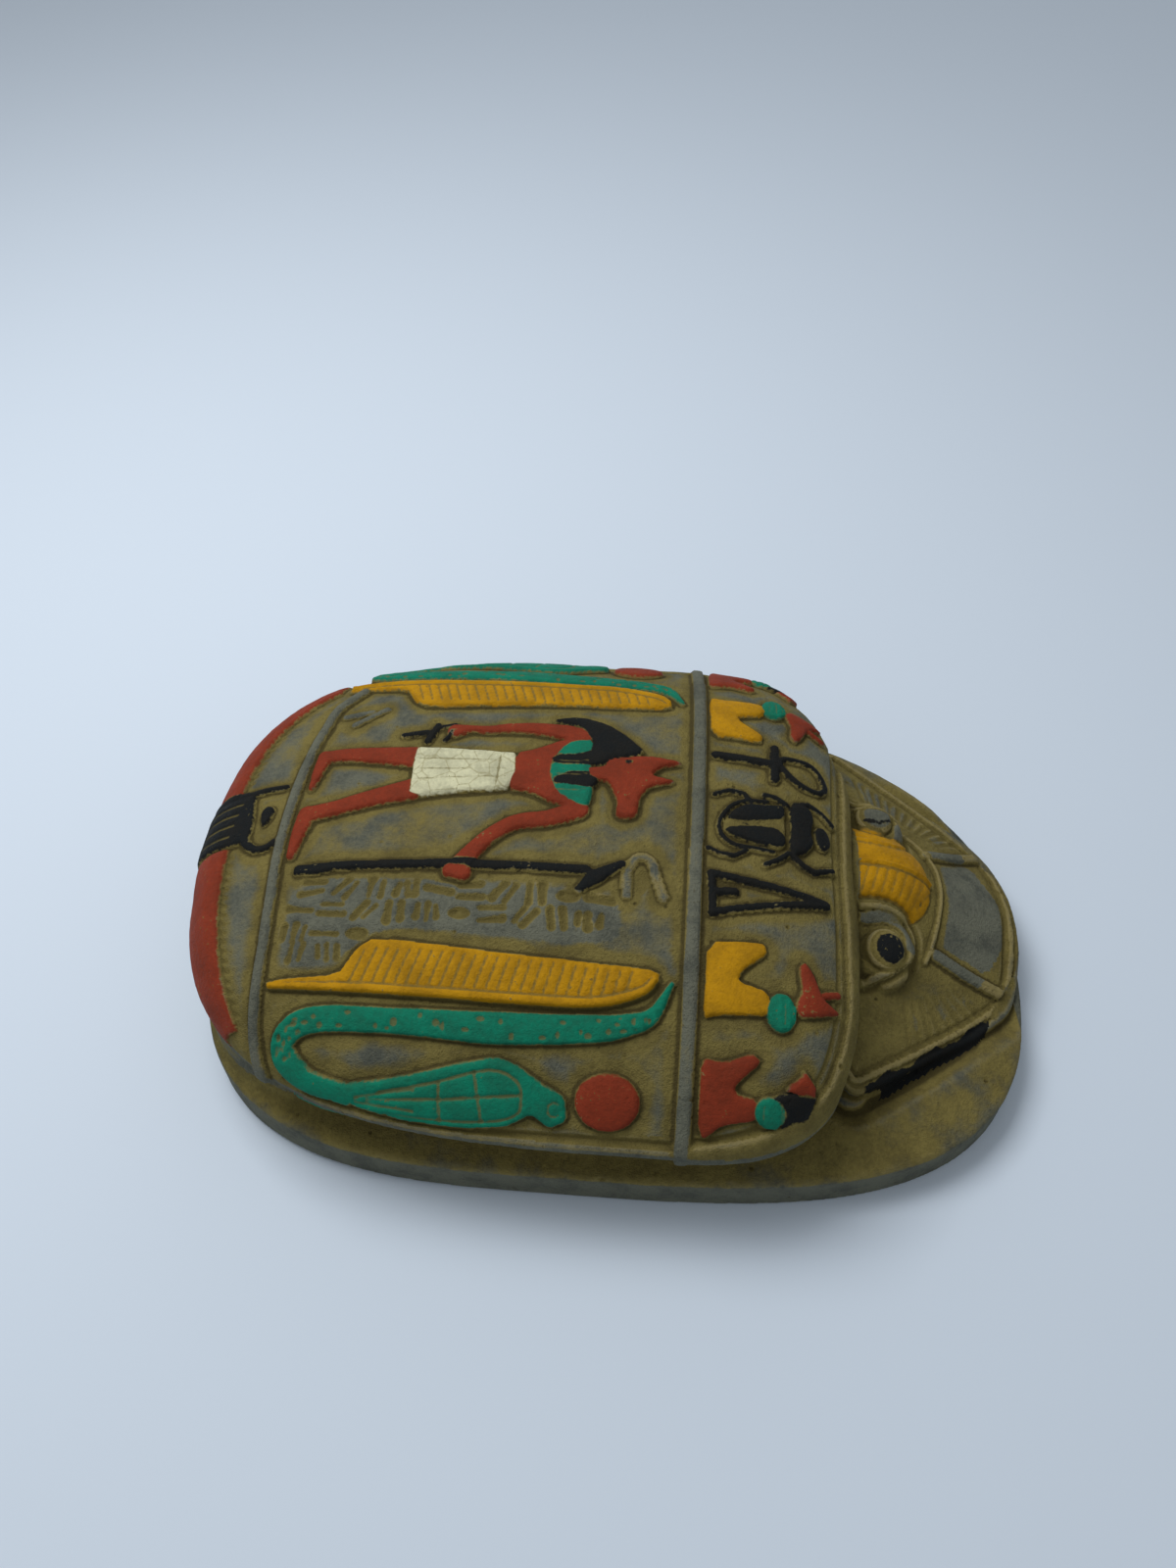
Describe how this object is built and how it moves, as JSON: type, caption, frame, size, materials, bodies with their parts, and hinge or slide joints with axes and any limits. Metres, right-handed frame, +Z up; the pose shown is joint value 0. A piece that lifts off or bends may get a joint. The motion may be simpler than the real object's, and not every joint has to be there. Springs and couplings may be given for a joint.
{
  "type": "scarab amulet",
  "caption": "Large carved and painted scarab: a beetle on a low slab, its shell cut with shallow relief figures, with a ridged collar, eyes and a fan-shaped head.",
  "frame": {"origin": "middle of the underside's bounding box, on the surface it stands on", "axes": "+X towards the beetle's head, +Y to its left side, +Z up"},
  "size_m": [0.162, 0.113, 0.0408],
  "materials": {
    "painted_stone": "grey stone with an ochre wash and matt enamel colours"
  },
  "bodies": {
    "root": {"scarab": "painted_stone"}
  },
  "joints": []
}
